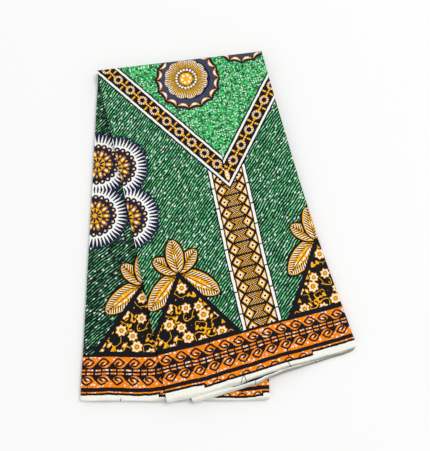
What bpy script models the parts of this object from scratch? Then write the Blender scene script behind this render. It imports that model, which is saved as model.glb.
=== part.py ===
"""Six yards of printed cotton cloth, folded for sale and lying flat.

The length is pleated back and forth into panels about 30 cm wide, and the pack of panels
is then folded once across.  That fold line is a little skew, so the upper half fans out
over the lower half like an opened book.  Metres, +Z up, the pack rests on z = 0.
"""

import math

import bmesh
import bpy
import numpy as np
from mathutils import Vector

# The cloth and its fold
fold_skew = math.radians(7.4)        # the fold line across the pack, against the lower hem
fold_length = 0.2967                 # along the fold line
lower_left_length = 0.564            # from the fold to the lower hem, at the left side
lower_right_length = 0.6046          # and at the right side, which the skew makes longer
upper_left_length = 0.585            # from the fold to the upper hem, at the left side
upper_right_length = 0.549           # and at the right side
lower_left_lean = math.radians(0.2)      # a side against the lower half's grain, seen from above,
lower_right_lean = math.radians(-0.1)    # clockwise as it leaves the fold
upper_left_lean = math.radians(-13.4)
upper_right_lean = math.radians(-15.5)
upper_left_bow = -0.0025                 # the fanned sides bend a little: to the left of their chord
upper_right_bow = 0.0062

# Through the pack, measured from its middle height
wall = 0.0012                        # one ply with its share of air
seam_gap = 0.0003                    # between neighbouring solids
half_height = 0.0090                 # half the pack, the radius of the outermost ply's fold
inner_radius = wall / 2 + seam_gap   # the tightest turn of the hidden layers
second_radius = half_height - wall - seam_gap
hidden_radius = second_radius - wall - seam_gap

# How the upper half lies where it passes the lower half's side
droop_height = half_height + inner_radius      # down to the table
droop_start = 0.018                  # past the lower half's right side
droop_span = 0.085
edge_band = 0.026                    # the pack thins towards its sides and hems
edge_thinning = 0.16
fold_band = 0.040                    # and is full again this far from the fold
trim_reach = 0.12                    # how far inwards a trimmed side moves the panel's points
hem_reach = 0.25                     # the same along the panel, as a share of its length

# Rows and columns of the panels' points
fold_steps = 8
side_columns = (0.0, 0.005, 0.013, 0.027, 0.060, 0.100)          # from the left side
middle_columns = tuple(0.1300 + 0.0168 * step for step in range(9))  # finer, where the pack droops
end_columns = (0.013, 0.005, 0.0)                                # from the right side
upper_rows = (0.0, 0.0008, 0.003, 0.007, 0.016, 0.032, 0.065, 0.110, 0.170, 0.230, 0.290,
              0.350, 0.410, 0.465, 0.510, 0.540)                 # from the hem
lower_rows = (0.0, 0.0012, 0.004, 0.012, 0.030, 0.150, 0.300, 0.450, 0.530)
tuck = 0.0015                        # how far the pleat of the inner ply ends short of the fold

# The plies that show.  Trims set a side or hem back from the upper half's outline, and negative
# ones stand out of it; corner radii are those of the upper hem.
shown_plies = {
    "front_panel": dict(radius=half_height, left_at_fold=0.0, left_at_hem=0.0, right=0.0,
                        hem_left=0.0, hem_right=0.0, lower_trim=0.0012,
                        left_corner=0.003, right_corner=0.017),
    "second_panel": dict(radius=second_radius, left_at_fold=0.004, left_at_hem=0.039, right=0.0025,
                         hem_left=-0.0120, hem_right=-0.0010, lower_trim=0.0020,
                         left_corner=0.006, right_corner=0.024),
}

# The hidden layers show only at their edges, as turned pleats and selvedges.  Each row is one
# bundle of plies, from the tightest turn outwards, with how far it is set back in millimetres.
hidden_bundles = [
    dict(left=1.0, right=2.2, lower_left=1.5, lower_right=0.4, upper_left=-1.8, upper_right=1.8),
    dict(left=2.4, right=0.9, lower_left=0.2, lower_right=1.8, upper_left=-3.4, upper_right=0.2),
    dict(left=0.6, right=2.6, lower_left=2.2, lower_right=0.9, upper_left=-2.4, upper_right=1.6),
    dict(left=2.0, right=1.2, lower_left=0.8, lower_right=2.4, upper_left=-4.2, upper_right=0.6),
    dict(left=0.9, right=2.0, lower_left=1.9, lower_right=1.1, upper_left=-1.6, upper_right=2.4),
]
groove_depth = 0.0011                # between two bundles
bundle_shoulder = 0.25               # share of a bundle's height taken by its round shoulder
shoulder_inset = 0.00025
edge_round = 0.0004                  # on the edge of a single ply
lower_corner = 0.004                 # radius of the lower hem's corners
hidden_corners = dict(left_corner=0.004, right_corner=0.016)


def side_direction(lean):
    """From the fold towards a hem, for a side that leans this far from straight down the panel."""
    return Vector((-math.sin(lean), -math.cos(lean)))


fold_left = Vector((-fold_length / 2 * math.cos(fold_skew), 0.0))
fold_along = Vector((math.cos(fold_skew), math.sin(fold_skew)))
fold_out = Vector((-math.sin(fold_skew), math.cos(fold_skew)))
fold_right = fold_left + fold_length * fold_along

halves = {
    "lower": dict(fold=(fold_left, fold_right),
                  hem=(fold_left + lower_left_length * side_direction(lower_left_lean),
                       fold_right + lower_right_length * side_direction(lower_right_lean)),
                  length=(lower_left_length + lower_right_length) / 2),
    "upper": dict(fold=(fold_left, fold_right),
                  hem=(fold_left + upper_left_length * side_direction(upper_left_lean),
                       fold_right + upper_right_length * side_direction(upper_right_lean)),
                  length=(upper_left_length + upper_right_length) / 2),
}
lower_side = halves["lower"]["hem"][1].x     # the lower half's right side


def smooth_step(value):
    value = min(max(value, 0.0), 1.0)
    return value * value * (3 - 2 * value)


def columns_of_panel():
    """Distances across the panel from its left side, for a panel as wide as the fold."""
    right = tuple(fold_length - distance for distance in end_columns)
    return side_columns + middle_columns + right


def rows_round_fold():
    """Rows of one ply from the lower hem round the fold to the upper hem, as (part, value)."""
    rows = [("lower", 1 - distance / halves["lower"]["length"]) for distance in lower_rows]
    rows += [("fold", math.pi * step / fold_steps) for step in range(fold_steps + 1)]
    rows += [("upper", 1 - distance / halves["upper"]["length"]) for distance in reversed(upper_rows)]
    return rows


def corner_inset(distance, radius):
    """How far a side is set back at this distance from the hem, for a round corner."""
    if distance >= radius:
        return 0.0
    return radius - math.sqrt(radius ** 2 - (radius - distance) ** 2)


def trimmed(across, width, left, right):
    """Moves a point across the panel inwards near a side that is set back."""
    from_right = width - across
    return (across + left * max(0.0, 1 - across / trim_reach)
            - right * max(0.0, 1 - from_right / trim_reach))


def edge_share(across, width, along, length):
    """1 at the panel's sides and hem, falling to 0 further in and at the fold."""
    nearest = min(across, width - across, (1 - along) * length)
    share = max(0.0, 1 - max(nearest, 0.0) / edge_band) ** 2
    return share * smooth_step(along * length / fold_band)


def half_sides(part, along):
    """The left and right side of a half, this share of the way from the fold to the hem."""
    half = halves[part]
    left = half["fold"][0].lerp(half["hem"][0], along)
    right = half["fold"][1].lerp(half["hem"][1], along)
    if part == "upper" and 0 < along < 1:
        left -= upper_left_bow * math.sin(math.pi * along) * fold_along
        right -= upper_right_bow * math.sin(math.pi * along) * fold_along
    return left, right


def half_point(part, across, along, depth):
    """A point of the lower or upper half; depth is its distance from the pack's middle height."""
    half = halves[part]
    left, right = half_sides(part, along)
    width = (right - left).length
    place = left.lerp(right, across / width)
    thinning = 1 - edge_thinning * edge_share(across, width, along, half["length"])
    if part == "lower":
        return Vector((place.x, place.y, (half_height - depth) * thinning))
    drop = droop_height * smooth_step((place.x - lower_side - droop_start) / droop_span)
    base = half_height + inner_radius - drop
    return Vector((place.x, place.y, base + (depth - inner_radius) * thinning))


def half_width(part, along):
    left, right = half_sides(part, along)
    return (right - left).length


def fold_point(across, angle, depth):
    """A point on the round fold, angle 0 at the lower half and pi at the upper half."""
    place = fold_left + across * fold_along + depth * math.sin(angle) * fold_out
    return Vector((place.x, place.y, half_height - depth * math.cos(angle)))


def ply_point(row, across, depth, trims):
    """A point of a ply that goes round the fold, with its sides and hems set back by the trims."""
    part, value = row
    if part == "fold":
        across = trimmed(across, fold_length, trims["left_at_fold"], trims["right"])
        return fold_point(across, value, depth)
    width = half_width(part, value)
    length = halves[part]["length"]
    from_hem = (1 - value) * length
    near_hem = max(0.0, 1 - (1 - value) / hem_reach)
    if part == "lower":
        left = trims["left_at_fold"] + corner_inset(from_hem, lower_corner)
        right = trims["right"] + corner_inset(from_hem, lower_corner)
        hem_trims = (trims["lower_left"], trims["lower_right"])
    else:
        left = (trims["left_at_fold"] * (1 - value) + trims["left_at_hem"] * value
                + corner_inset(from_hem, trims["left_corner"]))
        right = trims["right"] + corner_inset(from_hem, trims["right_corner"])
        hem_trims = (trims["upper_left"], trims["upper_right"])
    across = trimmed(across * width / fold_length, width, left, right)
    set_back = hem_trims[0] + (hem_trims[1] - hem_trims[0]) * across / width
    return half_point(part, across, value - set_back * near_hem / length, depth)


def layered_solid(name, rows, levels, place):
    """One closed body: a grid of points inside and outside, and round its edge every level.

    place(row, across, level) gives the point.
    """
    columns = columns_of_panel()
    last_row = len(rows) - 1
    last_column = len(columns) - 1
    rim = [(0, j) for j in range(last_column)]
    rim += [(i, last_column) for i in range(last_row)]
    rim += [(last_row, j) for j in range(last_column, 0, -1)]
    rim += [(i, 0) for i in range(last_row, 0, -1)]
    grid = [(i, j) for i in range(last_row + 1) for j in range(last_column + 1)]
    mesh = bmesh.new()
    corners = []
    for number, level in enumerate(levels):
        wanted = grid if number in (0, len(levels) - 1) else rim
        corners.append({(i, j): mesh.verts.new(place(rows[i], columns[j], level)) for i, j in wanted})
    for below, above in zip(corners, corners[1:]):
        for here, there in zip(rim, rim[1:] + rim[:1]):
            mesh.faces.new((below[here], below[there], above[there], above[here]))
    for face_corners in (corners[0], corners[-1]):
        for i in range(last_row):
            for j in range(last_column):
                mesh.faces.new([face_corners[key] for key in
                                ((i, j), (i, j + 1), (i + 1, j + 1), (i + 1, j))])
    bmesh.ops.triangulate(mesh, faces=mesh.faces[:], quad_method="FIXED")
    bmesh.ops.recalc_face_normals(mesh, faces=mesh.faces[:])
    data = bpy.data.meshes.new(name)
    mesh.to_mesh(data)
    mesh.free()
    piece = bpy.data.objects.new(name, data)
    bpy.data.collections["ankara_fabric"].objects.link(piece)
    data.set_sharp_from_angle(angle=math.radians(40))
    return piece


def ply_levels(radius):
    """Levels through a single ply with a rounded edge, as (depth, set back)."""
    inside = radius - wall
    return [(inside, edge_round), (inside + wall / 4, 0.0), (radius - wall / 4, 0.0),
            (radius, edge_round)]


def make_shown_ply(name):
    trims = dict(shown_plies[name])
    trims.update(lower_left=trims["lower_trim"], lower_right=trims["lower_trim"],
                 upper_left=trims["hem_left"], upper_right=trims["hem_right"])

    def place(row, across, level):
        depth, inset = level
        moved = dict(trims)
        for key in ("left_at_fold", "left_at_hem", "right", "lower_left", "lower_right",
                    "upper_left", "upper_right"):
            moved[key] = trims[key] + inset
        return ply_point(row, across, depth, moved)

    return layered_solid(name, rows_round_fold(), ply_levels(trims["radius"]), place)


def bundle_levels():
    """Levels through the hidden layers: each bundle swells out between two grooves."""
    height = (hidden_radius - inner_radius) / len(hidden_bundles)
    levels = []
    for number, bundle in enumerate(hidden_bundles):
        start = inner_radius + number * height
        previous = hidden_bundles[max(number - 1, 0)]
        between = {key: (bundle[key] + previous[key]) / 2 for key in bundle}
        levels.append((start, between, groove_depth))
        levels.append((start + bundle_shoulder * height, bundle, shoulder_inset))
        levels.append((start + 0.5 * height, bundle, 0.0))
        levels.append((start + (1 - bundle_shoulder) * height, bundle, shoulder_inset))
    levels.append((hidden_radius, hidden_bundles[-1], groove_depth))
    return levels


def make_hidden_layers():
    def place(row, across, level):
        depth, bundle, inset = level
        trims = {key: 0.001 * value + inset for key, value in bundle.items()}
        trims.update(left_at_fold=trims["left"], left_at_hem=trims["left"], **hidden_corners)
        return ply_point(row, across, depth, trims)

    return layered_solid("folded_layers", rows_round_fold(), bundle_levels(), place)


def make_left_panel():
    """The innermost ply's lower half: it shows beside and below the fanned upper half."""
    length = halves["lower"]["length"]
    rows = [("lower", 1 - distance / length) for distance in lower_rows] + [("lower", tuck / length)]

    def place(row, across, level):
        height, inset = level
        value = row[1]
        from_hem = (1 - value) * length
        width = half_width("lower", value)
        side = inset + corner_inset(from_hem, lower_corner)
        across = trimmed(across * width / fold_length, width, side, side)
        near_hem = max(0.0, 1 - (1 - value) / hem_reach)
        return half_point("lower", across, value - inset * near_hem / length, height)

    levels = [(-wall / 2, edge_round), (-wall / 4, 0.0), (wall / 4, 0.0), (wall / 2, edge_round)]
    return layered_solid("left_panel", rows, levels, place)


def principled(name, colour, roughness):
    material = bpy.data.materials.new(name)
    material.use_nodes = True
    shader = material.node_tree.nodes["Principled BSDF"]
    shader.inputs["Base Color"].default_value = (*colour, 1.0)
    shader.inputs["Roughness"].default_value = roughness
    shader.inputs["Metallic"].default_value = 0.0
    return material


def stand_on_table(pieces):
    """Moves the meshes so that the origin is the middle of the footprint, on the table."""
    points = np.array([corner.co for piece in pieces for corner in piece.data.vertices])
    low, high = points.min(axis=0), points.max(axis=0)
    middle = Vector(((low[0] + high[0]) / 2, (low[1] + high[1]) / 2, low[2]))
    for piece in pieces:
        for corner in piece.data.vertices:
            corner.co -= middle


def main():
    for existing in list(bpy.data.objects):
        bpy.data.objects.remove(existing)
    collection = bpy.data.collections.new("ankara_fabric")
    bpy.context.scene.collection.children.link(collection)

    finishes = {
        "front_panel": principled("green_wax_print", (0.035, 0.26, 0.075), 0.72),
        "second_panel": principled("cream_selvedge", (0.82, 0.80, 0.70), 0.75),
        "left_panel": principled("green_wax_print_inner", (0.028, 0.21, 0.060), 0.74),
        "folded_layers": principled("folded_print_edges", (0.55, 0.24, 0.03), 0.78),
    }
    pieces = [make_shown_ply("front_panel"), make_shown_ply("second_panel"), make_left_panel(),
              make_hidden_layers()]
    for piece in pieces:
        piece.data.materials.append(finishes[piece.name])
    stand_on_table(pieces)


main()
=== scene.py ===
import math
from functools import partialmethod
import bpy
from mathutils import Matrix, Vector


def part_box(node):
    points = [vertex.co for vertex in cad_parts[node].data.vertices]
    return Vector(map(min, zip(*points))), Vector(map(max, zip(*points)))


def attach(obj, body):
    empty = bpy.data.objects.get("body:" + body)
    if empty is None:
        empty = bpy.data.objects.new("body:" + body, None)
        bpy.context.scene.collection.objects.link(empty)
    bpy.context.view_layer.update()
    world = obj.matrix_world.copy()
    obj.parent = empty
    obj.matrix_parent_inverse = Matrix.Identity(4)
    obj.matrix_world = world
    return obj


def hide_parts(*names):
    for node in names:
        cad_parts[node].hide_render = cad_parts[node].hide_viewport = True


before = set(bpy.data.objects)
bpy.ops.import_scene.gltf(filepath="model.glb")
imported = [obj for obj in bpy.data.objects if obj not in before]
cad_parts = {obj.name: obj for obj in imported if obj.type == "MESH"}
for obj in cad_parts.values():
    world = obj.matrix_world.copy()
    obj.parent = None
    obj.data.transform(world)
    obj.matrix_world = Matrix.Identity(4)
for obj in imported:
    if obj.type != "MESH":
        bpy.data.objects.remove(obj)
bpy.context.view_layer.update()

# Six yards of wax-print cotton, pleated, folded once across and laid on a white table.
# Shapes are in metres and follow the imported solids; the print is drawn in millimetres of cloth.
from types import SimpleNamespace

import bmesh
import bpy
from mathutils import Vector, noise

# The pack, with the fold line, sides and hems that the solids have
pack = {
    "foldSkew": math.radians(7.4),
    "foldLength": 0.2967,
    "lowerLeftLength": 0.564,
    "lowerRightLength": 0.6046,
    "upperLeftLength": 0.585,
    "upperRightLength": 0.549,
    "lowerLeftLean": math.radians(0.2),
    "lowerRightLean": math.radians(-0.1),
    "upperLeftLean": math.radians(-13.4),
    "upperRightLean": math.radians(-15.5),
    "upperLeftBow": -0.0025,
    "upperRightBow": 0.0062,
    "halfHeight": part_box("front_panel")[1][2] / 2,
    "innerRadius": 0.0009,
    "droopStart": 0.018,        # past the lower half's right side the fan sinks to the table
    "droopSpan": 0.085,
    "edgeBand": 0.026,          # sides and hems are thinner than the middle
    "edgeThinning": 0.16,
    "foldBand": 0.040,
    "trimReach": 0.12,
    "hemReach": 0.25,
    "riseFrom": 0.015,          # the hem's shape fades out of the print over this span
    "riseSpan": 0.13,
    "rowsEnd": 0.002,           # a half's rows of points stop this far from the fold
    "lowerCorners": (0.004, 0.004),
    "wander": 0.0006,           # how far a pleat's edge strays along its length
    "wanderRate": 14,
    "wanderFrom": 0.08,
    "sharpFrom": math.radians(58),
}


def sideDirection(lean):
    return Vector((-math.sin(lean), -math.cos(lean)))


foldAlong = Vector((math.cos(pack["foldSkew"]), math.sin(pack["foldSkew"])))
foldOut = Vector((-math.sin(pack["foldSkew"]), math.cos(pack["foldSkew"])))
foldLeft = Vector((-pack["foldLength"] / 2 * math.cos(pack["foldSkew"]), 0.0))
foldRight = foldLeft + pack["foldLength"] * foldAlong


def makeHalf(name):
    left = foldLeft + pack[name + "LeftLength"] * sideDirection(pack[name + "LeftLean"])
    right = foldRight + pack[name + "RightLength"] * sideDirection(pack[name + "RightLean"])
    lengths = (pack[name + "LeftLength"], pack[name + "RightLength"])
    return {"fold": (foldLeft, foldRight), "hem": (left, right), "lengths": lengths,
            "length": sum(lengths) / 2}


halves = {"lower": makeHalf("lower"), "upper": makeHalf("upper")}
lowerSide = halves["lower"]["hem"][1].x
fullLength = halves["lower"]["length"] + halves["upper"]["length"]     # hem to hem, round the fold

# The solids stand with the middle of their footprint at the origin
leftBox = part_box("left_panel")
tableShift = Vector((leftBox[0][0] - halves["lower"]["hem"][0].x,
                     leftBox[0][1] - halves["lower"]["hem"][1].y))


def smoothStep(value):
    value = min(max(value, 0.0), 1.0)
    return value * value * (3 - 2 * value)


def mixed(low, high, share):
    return low + (high - low) * share


def alongLine(line, share):
    # a listed line: (share of the width, millimetres), given back in metres
    for (start, low), (end, high) in zip(line, line[1:]):
        if share <= end:
            return 0.001 * mixed(low, high, smoothStep((share - start) / (end - start)))
    return 0.001 * line[-1][1]


# How far each ply's hem lies inside the outline of the solids, from left to right
hemLines = {
    "front": [(0.0, 3.2), (0.13, 1.2), (0.24, 2.2), (0.36, 1.8), (0.45, 5.4), (0.56, 7.8), (0.70, 8.5),
              (0.85, 8.2), (1.0, 7.2)],
    "second": [(0.0, -8.4), (0.20, -6.9), (0.34, -5.3), (0.46, -4.0), (0.52, -0.4), (0.64, 2.8),
               (0.76, 4.4), (0.88, 6.0), (1.0, 6.6)],
    "hidden": [(0.0, 5.6), (0.11, 4.2), (0.19, -3.6), (0.34, -2.0), (0.46, -0.6), (0.52, 2.6), (0.64, 5.8),
               (0.76, 7.4), (1.0, 9.4)],
    "lower": [(0.0, 1.4), (0.12, 0.8), (0.26, 1.6), (0.40, 1.0), (0.70, 3.2), (1.0, 4.6)],
}

# The print follows the cloth's own hem, which isn't quite straight: what it rises near the hem
printRise = {
    "upper": [(0.0, -0.4), (0.06, -0.9), (0.13, -1.5), (0.20, -3.0), (0.26, -2.1), (0.32, -0.8),
              (0.44, 0.2), (0.56, 2.2), (0.63, 3.2), (0.70, 2.8), (0.80, 3.6), (0.90, 4.0), (1.0, 5.4)],
    "lower": [(0.0, -0.7), (0.07, -0.5), (0.15, 0.8), (0.23, 0.0), (0.30, -0.5), (0.36, 0.2),
              (0.44, 3.2), (0.60, 2.6), (0.86, 2.5), (0.91, 3.7), (0.95, 5.7), (1.0, 6.4)],
    "second": [(0.0, -15.8), (0.20, -14.2), (0.34, -12.6), (0.46, -11.4), (0.52, -7.8), (0.64, -4.6),
               (0.76, -3.2), (0.88, -1.4), (1.0, -0.8)],
}

# Towards its hem the folded stack is pressed thinner, most where it lies on the table
hemPress = {"left": 0.72, "right": 0.36, "from": 0.40, "to": 0.56, "reach": 0.022}


def pressedAtHem(share, fromOuterHem):
    low = mixed(hemPress["left"], hemPress["right"],
                smoothStep((share - hemPress["from"]) / (hemPress["to"] - hemPress["from"])))
    return 1 - (1 - low) * min(max(1 - fromOuterHem / hemPress["reach"], 0.0), 1.0) ** 2


# Creases of the upper and the lower half, from above, in millimetres on the ply that shows:
# u runs from its left side and v from its hem.  A ridge has a negative depth.
creases = {
    "upper": [
        {"start": (96, 500), "end": (186, 470), "bend": -6, "width": 8, "depth": 0.7},
        {"start": (172, 505), "end": (246, 520), "bend": 5, "width": 12, "depth": -0.5},
        {"start": (8, 545), "end": (74, 470), "bend": 7, "width": 9, "depth": 0.6},
        {"start": (60, 560), "end": (40, 470), "bend": -5, "width": 10, "depth": -0.4},
        {"start": (14, 420), "end": (30, 300), "bend": 6, "width": 14, "depth": 0.5},
        {"start": (222, 400), "end": (262, 255), "bend": -9, "width": 15, "depth": 0.6},
        {"start": (120, 330), "end": (92, 210), "bend": 8, "width": 16, "depth": -0.5},
        {"start": (30, 60), "end": (120, 40), "bend": -4, "width": 9, "depth": 0.5},
        {"start": (190, 46), "end": (276, 66), "bend": 5, "width": 10, "depth": -0.5},
    ],
    "lower": [
        {"start": (3, 556), "end": (26, 452), "bend": 5, "width": 6, "depth": 1.1},
        {"start": (10, 548), "end": (10, 470), "bend": -3, "width": 5, "depth": -0.6},
        {"start": (22, 430), "end": (50, 330), "bend": 5, "width": 9, "depth": 0.6},
        {"start": (18, 280), "end": (30, 180), "bend": -5, "width": 12, "depth": -0.5},
        {"start": (60, 120), "end": (20, 60), "bend": 5, "width": 12, "depth": 0.5},
        {"start": (44, 30), "end": (54, 2), "bend": 2, "width": 9, "depth": 0.9},
        {"start": (92, 26), "end": (86, 2), "bend": -2, "width": 8, "depth": -0.7},
    ],
}

# A crease fades out past its ends, and between the creases the cloth swells a little
creaseFade = {"past": 0.22, "span": 0.42, "beyond": 40}
swell = {"height": 0.55, "across": 0.011, "along": 0.008, "seed": {"upper": 4.7, "lower": 9.2}}


def creaseLift(part, u, v):
    lift = 0.0
    past, fadeSpan, beyond = creaseFade["past"], creaseFade["span"], creaseFade["beyond"]
    for crease in creases[part]:
        (u0, v0), (u1, v1) = crease["start"], crease["end"]
        du, dv = u1 - u0, v1 - v0
        span = math.hypot(du, dv)
        along = ((u - u0) * du + (v - v0) * dv) / span
        if not -beyond < along < span + beyond:
            continue
        share = along / span
        bow = crease["bend"] * (1 - (2 * min(max(share, 0.0), 1.0) - 1) ** 2)
        off = ((v - v0) * du - (u - u0) * dv) / span - bow
        fade = smoothStep((share + past) / fadeSpan) * smoothStep((1 + past - share) / fadeSpan)
        lift -= crease["depth"] * fade * math.exp(-(off / crease["width"]) ** 2)
    place = Vector((u * swell["across"], v * swell["along"], swell["seed"][part]))
    return 0.001 * (lift + swell["height"] * noise.noise(place))


def edgeShare(across, width, along, length):
    nearest = max(min(across, width - across, (1 - along) * length), 0.0)
    share = max(0.0, 1 - nearest / pack["edgeBand"]) ** 2
    return share * smoothStep(along * length / pack["foldBand"])


def halfSides(part, along):
    half = halves[part]
    left = half["fold"][0].lerp(half["hem"][0], along)
    right = half["fold"][1].lerp(half["hem"][1], along)
    if part == "upper" and 0 < along < 1:
        left -= pack["upperLeftBow"] * math.sin(math.pi * along) * foldAlong
        right -= pack["upperRightBow"] * math.sin(math.pi * along) * foldAlong
    return left, right


def halfWidth(part, along):
    left, right = halfSides(part, along)
    return (right - left).length


def fromHem(part, share, along):
    # distance to the hem, measured along the cloth
    return (1 - along) * mixed(*halves[part]["lengths"], share)


def onHalf(part, across, along, depth):
    # a point of a half and its place on the cloth; depth is counted from the pack's middle height
    half = halves[part]
    left, right = halfSides(part, along)
    width = (right - left).length
    place = left.lerp(right, across / width)
    v = fromHem(part, across / width, along)
    thinning = 1 - pack["edgeThinning"] * edgeShare(across, width, along, half["length"])
    inner, height = pack["innerRadius"], pack["halfHeight"]
    fadeAtFold = smoothStep(along * half["length"] / pack["foldBand"])
    lift = creaseLift(part, 1000 * across, 1000 * v) * fadeAtFold
    if part == "lower":
        z = (height - depth) * thinning + lift * max(0.0, 1 - max(depth, 0.0) / height)
    else:
        drop = (height + inner) * smoothStep((place.x - lowerSide - pack["droopStart"]) / pack["droopSpan"])
        pressed = pressedAtHem(across / width, v - alongLine(hemLines["second"], across / width))
        z = height + inner - drop + ((depth - inner) * thinning
                                     + lift * max(0.0, (depth - inner) / (height - inner))) * pressed
    return (place.x + tableShift.x, place.y + tableShift.y, z), (across, v)


def printPlace(rise, across, width, v):
    # where the print is, at a place on the cloth
    return v - alongLine(rise, across / width) * (1 - smoothStep((v - pack["riseFrom"]) / pack["riseSpan"]))


def onFold(across, angle, depth):
    # a point of the round fold, angle 0 at the lower half and pi at the upper half
    place = foldLeft + across * foldAlong + depth * math.sin(angle) * foldOut
    start = mixed(*halves["upper"]["lengths"], across / pack["foldLength"])
    v = start + depth * (math.pi - angle)
    z = pack["halfHeight"] - depth * math.cos(angle)
    return (place.x + tableShift.x, place.y + tableShift.y, z), (across, v)


def cornerInset(distance, radius):
    if distance >= radius:
        return 0.0
    return radius - math.sqrt(radius ** 2 - (radius - max(distance, 0.0)) ** 2)


def trimmed(across, width, left, right):
    reach = pack["trimReach"]
    fromRight = width - across
    return (across + left * max(0.0, 1 - across / reach)
            - right * max(0.0, 1 - fromRight / reach))


def strayed(v, seed):
    return pack["wander"] * noise.noise(Vector((v * pack["wanderRate"], seed * 3.1, 0.7)))


def plyPoint(row, across, depth, ply, sideInset, hemInset):
    # a point of a ply that goes round the fold, set back from the outline by its trims
    part, value = row
    if part == "fold":
        left = ply["leftAtFold"] + sideInset
        right = ply["right"] + sideInset
        return onFold(trimmed(across, pack["foldLength"], left, right), value, depth)
    width = halfWidth(part, value)
    length = halves[part]["length"]
    hemDistance = (1 - value) * length
    nearHem = max(0.0, 1 - (1 - value) / pack["hemReach"])
    awayFromFold = smoothStep(value * length / pack["wanderFrom"])
    left = mixed(ply["leftAtFold"], ply["leftAtHem"] if part == "upper" else ply["leftAtFold"], value)
    left += sideInset + strayed(hemDistance, ply["seed"]) * awayFromFold
    right = ply["right"] + sideInset + strayed(hemDistance, ply["seed"] + 5) * awayFromFold
    corners = ply["corners"] if part == "upper" else pack["lowerCorners"]
    left += cornerInset(hemDistance, corners[0])
    right += cornerInset(hemDistance, corners[1])
    across = trimmed(across * width / pack["foldLength"], width, left, right)
    line, further = ply["upperHem"] if part == "upper" else ("lower", ply["lowerHem"])
    setBack = alongLine(hemLines[line], across / width) + further + hemInset
    spot, (u, v) = onHalf(part, across, value - setBack * nearHem / length, depth)
    # under leaves go the other way along the cloth
    if part == "upper":
        return spot, (u, printPlace(printRise[ply["rise"]], across, width, v))
    return spot, (u, fullLength - v)


def steps(start, end, size):
    count = max(1, round((end - start) / size))
    return [start + (end - start) * number / count for number in range(count + 1)]


edgeSteps = [0.0, 0.0006, 0.0014, 0.0026, 0.0042, 0.0062, 0.0088, 0.0118]


def columnsAcross(size):
    middle = steps(edgeSteps[-1], pack["foldLength"] - edgeSteps[-1], size)
    return edgeSteps[:-1] + middle + [pack["foldLength"] - step for step in reversed(edgeSteps[:-1])]


def rowsRoundFold(size, foldSteps):
    rows = []
    for part in ("lower", "upper"):
        length = halves[part]["length"]
        distances = edgeSteps[:-1] + steps(edgeSteps[-1], length - pack["rowsEnd"], size)
        rows.append([(part, 1 - distance / length) for distance in distances])
    turn = [("fold", math.pi * step / foldSteps) for step in range(foldSteps + 1)]
    return rows[0] + turn + rows[1][::-1]


def clothMesh(name, rows, columns, levels, place, material):
    # one closed body: a grid on each of its two faces, and every level round its edge
    lastRow, lastColumn = len(rows) - 1, len(columns) - 1
    rim = [(0, j) for j in range(lastColumn)]
    rim += [(i, lastColumn) for i in range(lastRow)]
    rim += [(lastRow, j) for j in range(lastColumn, 0, -1)]
    rim += [(i, 0) for i in range(lastRow, 0, -1)]
    grid = [(i, j) for i in range(lastRow + 1) for j in range(lastColumn + 1)]
    points, cloth, numbers = [], [], []
    for number, level in enumerate(levels):
        found = {}
        for i, j in (grid if number in (0, len(levels) - 1) else rim):
            spot, uv = place(rows[i], columns[j], level)
            found[(i, j)] = len(points)
            points.append(spot)
            cloth.append(uv)
        numbers.append(found)
    faces = []
    for below, above in zip(numbers, numbers[1:]):
        for here, there in zip(rim, rim[1:] + rim[:1]):
            faces.append((below[here], below[there], above[there], above[here]))
    for face in (numbers[0], numbers[-1]):
        for i in range(lastRow):
            for j in range(lastColumn):
                faces.append((face[(i, j)], face[(i, j + 1)], face[(i + 1, j + 1)], face[(i + 1, j)]))
    mesh = bpy.data.meshes.new(name)
    mesh.from_pydata(points, [], faces)
    layer = mesh.uv_layers.new(name="cloth")
    for loop in mesh.loops:
        layer.data[loop.index].uv = cloth[loop.vertex_index]
    body = bmesh.new()
    body.from_mesh(mesh)
    bmesh.ops.recalc_face_normals(body, faces=body.faces[:])
    body.to_mesh(mesh)
    body.free()
    mesh.polygons.foreach_set("use_smooth", [True] * len(mesh.polygons))
    mesh.set_sharp_from_angle(angle=pack["sharpFrom"])
    mesh.materials.append(material)
    piece = bpy.data.objects.new(name, mesh)
    bpy.context.scene.collection.objects.link(piece)
    return piece


def pleatLevels(inner, outer):
    # a pleat is two plies: round where the cloth turns at the sides, two edges at the hems
    thick = outer - inner
    profile = [(0.0, 0.42, 0.90), (0.13, 0.17, 0.38), (0.30, 0.04, 0.10), (0.44, 0.0, 0.0),
               (0.50, 0.0, 0.80), (0.56, 0.0, 0.0), (0.70, 0.04, 0.10), (0.87, 0.17, 0.38),
               (1.0, 0.42, 0.90)]
    return [(inner + share * thick, 0.001 * side, 0.001 * hem) for share, side, hem in profile]


# Dyes, as sRGB values from 0 to 255
dyes = {
    "green": (38, 150, 80),
    "brightGreen": (146, 228, 170),
    "hatchBlack": (10, 22, 22),
    "yokeGreen": (54, 160, 86),
    "yokeLight": (94, 220, 126),
    "yokeShade": (34, 72, 50),
    "orange": (244, 132, 0),
    "amber": (250, 176, 6),
    "gold": (222, 164, 22),
    "brown": (64, 42, 14),
    "navy": (24, 28, 58),
    "navyLight": (92, 94, 124),
    "black": (15, 14, 22),
    "white": (244, 244, 240),
    "cream": (244, 243, 231),
    # painted shade for the cream towards the hems
    "creamShade": (126, 125, 116),
}


def dye(name):
    linear = []
    for value in dyes[name]:
        share = value / 255
        linear.append(share / 12.92 if share <= 0.04045 else ((share + 0.055) / 1.055) ** 2.4)
    return (*linear, 1.0)


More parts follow.
